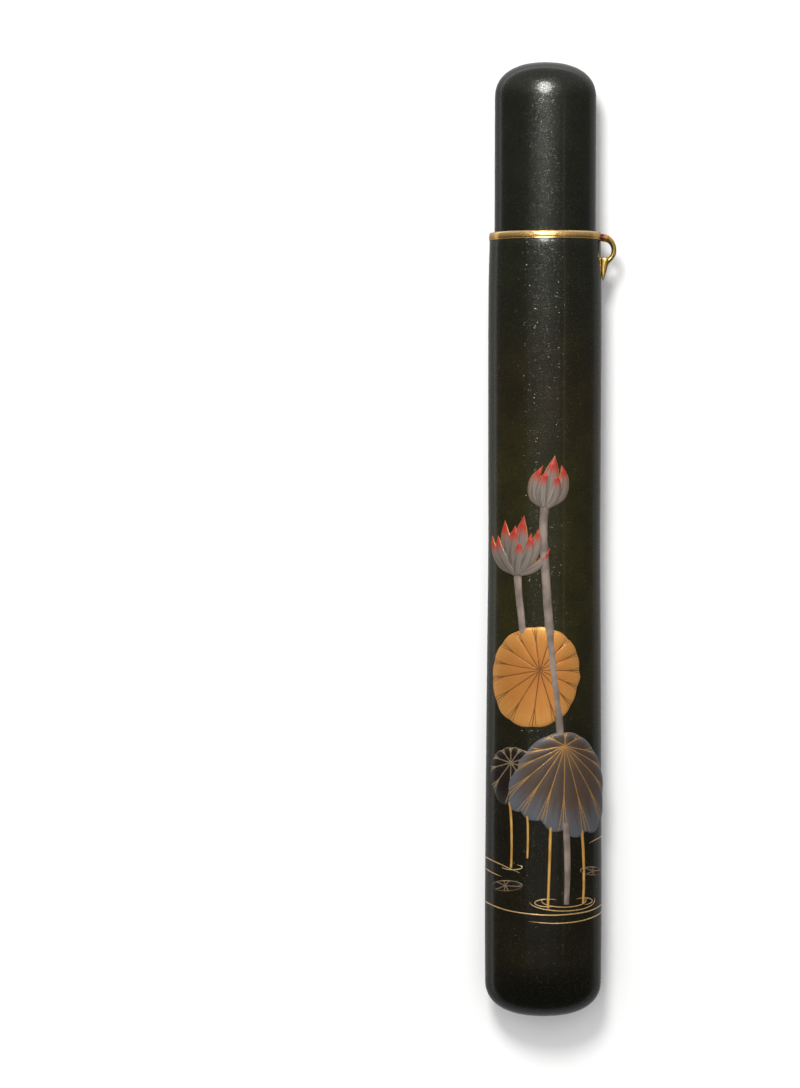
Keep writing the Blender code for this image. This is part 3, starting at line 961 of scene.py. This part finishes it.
def makePicture(gold, paleGold, leaves, petals, stalkMaterial):
    raisedPad("goldLotusLeaf", goldLeaf, leaves["gold"])
    raisedPad("blackLotusLeaf", blackLeaf, leaves["black"])
    for name, (points, height) in stalks.items():
        raisedRibbon(name, points, height, stalkMaterial, count=240, columns=17)
    raisedPad("greyLotusLeaf", greyLeaf, leaves["grey"])
    for name, (points, height) in goldStems.items():
        raisedRibbon(name, points, height, gold, count=120, columns=13)
    for kind, flower in (("budPetal", budPetals), ("blossomPetal", blossomPetals)):
        for number, (points, height) in enumerate(flower):
            raisedRibbon(f"{kind}{number}", points, height, petals, count=70, columns=41, power=3.0)
    for number, leaf in enumerate(floatingLeaves):
        makeFloatingLeaf(number, leaf, leaves["black"])
    for number, points in enumerate(waterLines):
        raisedRibbon(f"waterLine{number}", points, lineHeight, paleGold, count=200, columns=9)
    for number, (center, size, span) in enumerate(ripples):
        turn = np.radians(np.linspace(*span, rippleSteps))
        width = rippleHalf * np.sin(np.linspace(0.06, math.pi - 0.06, rippleSteps)) ** 0.5
        around, along = center[0] + size[0] * np.cos(turn), center[1] + size[1] * np.sin(turn)
        points = np.stack([around, along, width], axis=-1)
        raisedRibbon(f"ripple{number}", points.tolist(), lineHeight, paleGold, count=120, columns=9)


backStrokes = {
    "around": 29.0,
    "along": -74.6,
    "rowStep": 1.9,
    "height": 0.06,
    # the brush's way through a stroke: shares of its run and of its rise, half width
    "brush": [(1.0, -1.0, 0.05), (0.3, -0.2, 0.17), (-0.5, 0.6, 0.15), (-1.0, 1.0, 0.03)],
    "rows": [  # half length, shift and slope in degrees of each row's strokes
        [(0.9, 0.1, 6)],
        [(0.45, -0.9, -12), (0.5, 0.7, 9)],
        [(1.2, 0.0, 4)],
        [(0.5, -0.5, 10)],
        [(1.0, 0.2, 5)],
        [(0.4, -0.8, -10), (0.4, 0.8, 12)],
        [(1.3, 0.1, 3)],
    ],
}


def makeBackStrokes(gold):
    # rows of short brush strokes that spell nothing
    look = backStrokes
    number = 0
    for row, strokes in enumerate(look["rows"]):
        along = look["along"] - row * look["rowStep"]
        for half, shift, slope in strokes:
            run, rise = half * math.cos(math.radians(slope)), half * math.sin(math.radians(slope))
            around = look["around"] - shift
            points = [(around + run * a, along + rise * b, wide) for a, b, wide in look["brush"]]
            raisedRibbon(f"backStroke{number}", points, look["height"], gold, count=30, columns=9)
            number += 1


# Floor, light and camera

studio = {
    "floorColor": (0.835, 0.835, 0.835),
    "floorSize": 6.0,
    "floorDrop": 0.00006,  # below the case's back, in metres
    # away from the case the floor is lit from below: from and in full at these metres, how much
    "floorGlow": (0.16, 0.60, 0.42),
    # how bright the room looks in the gloss, towards the foot, overhead and beyond the crown
    "above": (0.06, 0.14, 0.50),
    "below": (0.25, 0.34, 0.64),
    "footSide": (-0.14, 0.06),
    "crownSide": (0.06, 0.75),
    "horizon": (-0.13, -0.18),
    # how much brighter the table is near the horizon, on its dark and its lit side
    "tableEdge": (0.95, 2.65),
    "tableFade": (-0.5, -0.18),
    "tableLit": (-0.2, 0.8),
    "backdrop": 1.0,
}
# Each lamp: where it stands (tilt to +X, tilt to +Y, in degrees), how far off and how large in
# metres, how bright it makes a white floor, and whether it lights the gloss or the colour.
lamps = {
    "sheenKey": {"tilts": (-1, 31.8), "distance": 0.738, "size": (0.22, 0.33), "bright": 0.54,
                 "round": True, "color": (1.0, 0.985, 0.94), "lights": "gloss"},
    "shadowKey": {"tilts": (-11.7, 31.7), "distance": 0.645, "size": (0.17, 0.17), "bright": 0.62,
                  "round": True, "color": (1.0, 0.995, 0.98), "lights": "color"},
    "overhead": {"tilts": (-2, 9.5), "distance": 1.7, "size": (1.50, 1.14), "bright": 0.031,
                 "round": False, "color": (1.0, 1.0, 1.0), "lights": "gloss"},
    "roomFill": {"tilts": (-8, 0), "distance": 20.0, "size": (29.2, 29.2), "bright": 1.06,
                 "round": False, "color": (1.0, 1.0, 1.0), "lights": "color"},
    "warmStrip": {"tilts": (29, 9.5), "distance": 1.9, "size": (0.08, 1.1), "bright": 0.0050,
                  "round": False, "color": (1.0, 0.84, 0.60), "lights": "gloss"},
}
view = {
    "distance": 950.0,  # to the plane through the case's axis
    "center": (-32.09, -1.2),  # the world point in the middle of the frame
    "frameHeight": 242.0,
    "roll": 0.167,
    "sensor": 36.0,
}


def makeFloor():
    material, tree, shader = makeMaterial("paleFloor")
    place = objectPlace(tree)
    tone = ramp(tree, noise(tree, place, 40.0, 3.0), 0.3, 0.7)
    pale = studio["floorColor"]
    color = mixColor(tree, tone, tuple(0.985 * c for c in pale), pale)
    glowFrom, glowFull, glow = studio["floorGlow"]
    away = vectorNode(tree, "LENGTH", place, result="Value")
    connect(tree, shader, color=color, roughness=0.9, specular=0.0,
            glow=ramp(tree, away, glowFrom, glowFull, 0.0, glow), glowColor=(1.0, 1.0, 1.0, 1.0))
    mesh = bpy.data.meshes.new("floor")
    half = studio["floorSize"] / 2
    plan = ((-half, -half), (half, -half), (half, half), (-half, half))
    corners = [(x, y, -studio["floorDrop"]) for x, y in plan]
    mesh.from_pydata(corners, [], [(0, 1, 2, 3)])
    mesh.materials.append(material)
    floor = addObject("floor", mesh)
    floor.visible_glossy = False


def makeLamp(name, look):
    lamp = bpy.data.lights.new(name, "AREA")
    lamp.shape = "ELLIPSE" if look["round"] else "RECTANGLE"
    lamp.size, lamp.size_y = look["size"]
    tiltX, tiltY = (math.radians(tilt) for tilt in look["tilts"])
    toward = Vector((math.tan(tiltX), math.tan(tiltY), 1.0)).normalized()
    lamp.energy = look["bright"] * (math.pi * look["distance"]) ** 2 / toward.z
    lamp.color = look["color"]
    holder = addObject(name, lamp)
    holder.location = toward * look["distance"]
    holder.rotation_euler = (-tiltY, tiltX, 0.0)
    holder.visible_glossy = look["lights"] != "color"
    holder.visible_diffuse = look["lights"] != "gloss"


def makeRoom():
    # in the gloss a dark room above a paler table edge, and a pale backdrop for the camera
    world = bpy.data.worlds.new("studio")
    world.use_nodes = True
    world.cycles.sampling_method = "NONE"
    tree = world.node_tree
    tree.nodes.clear()
    x, y, z = splitXyz(tree, addNode(tree, "TexCoord").outputs["Generated"])
    levels = []
    for foot, middle, crown in (studio["above"], studio["below"]):
        lower = ramp(tree, y, *studio["footSide"], foot, middle)
        upper = ramp(tree, y, *studio["crownSide"], 0.0, crown - middle)
        levels.append(plus(tree, lower, upper))
    lit = minus(tree, y, x)
    brighter = ramp(tree, lit, *studio["tableLit"], *studio["tableEdge"])
    edge = ramp(tree, z, *studio["tableFade"], 1.0, brighter)
    table = times(tree, levels[1], edge)
    under = ramp(tree, z, *studio["horizon"])
    gloss = plus(tree, levels[0], times(tree, under, minus(tree, table, levels[0])))
    room, pale = (addNode(tree, "Background", {"Color": (1, 1, 1, 1), "Strength": level}).outputs[0]
                  for level in (gloss, studio["backdrop"]))
    seen = addNode(tree, "LightPath").outputs["Is Camera Ray"]
    both = addNode(tree, "MixShader", {0: seen, 1: room, 2: pale})
    out = addNode(tree, "OutputWorld")
    tree.links.new(both.outputs[0], out.inputs["Surface"])
    bpy.context.scene.world = world


def makeCamera():
    lens = bpy.data.cameras.new("camera")
    lens.sensor_width = view["sensor"]
    lens.lens = view["sensor"] * view["distance"] / view["frameHeight"]
    lens.clip_start = 0.05
    lens.clip_end = 20.0
    camera = addObject("camera", lens)
    x, y = view["center"]
    camera.location = Vector((x, y, axisHeight + view["distance"])) * mm
    camera.rotation_euler = (0.0, 0.0, math.radians(view["roll"]))
    bpy.context.scene.camera = camera


def build():
    caseSkin = speckledLacquer("caseLacquer", caseLacquer)
    tubeSkin = speckledLacquer("tubeLacquer", tubeLacquer)
    rimGold = polishedGold("rimGold", goldLook)
    loopGold = polishedGold("loopGold", loopGoldLook)
    makeCaseBody(caseSkin)
    makeInnerTube(tubeSkin)
    makeMouthRim(rimGold)
    makeCordLoop(loopGold)
    print("case, tube and rim built")

    gold, paleGold, stalkSkin = (goldPowder(name) for name in powderLooks)
    leaves = {key: leafFinish(key + "Leaf", look) for key, look in leafLooks.items()}
    petals = petalFinish("petals", petalLook)
    makePicture(gold, paleGold, leaves, petals, stalkSkin)
    makeBackStrokes(gold)
    print("decoration built")

    makeFloor()
    for name, look in lamps.items():
        makeLamp(name, look)
    makeRoom()
    makeCamera()
    bpy.context.scene.view_settings.view_transform = "Standard"
    print("studio ready")


build()
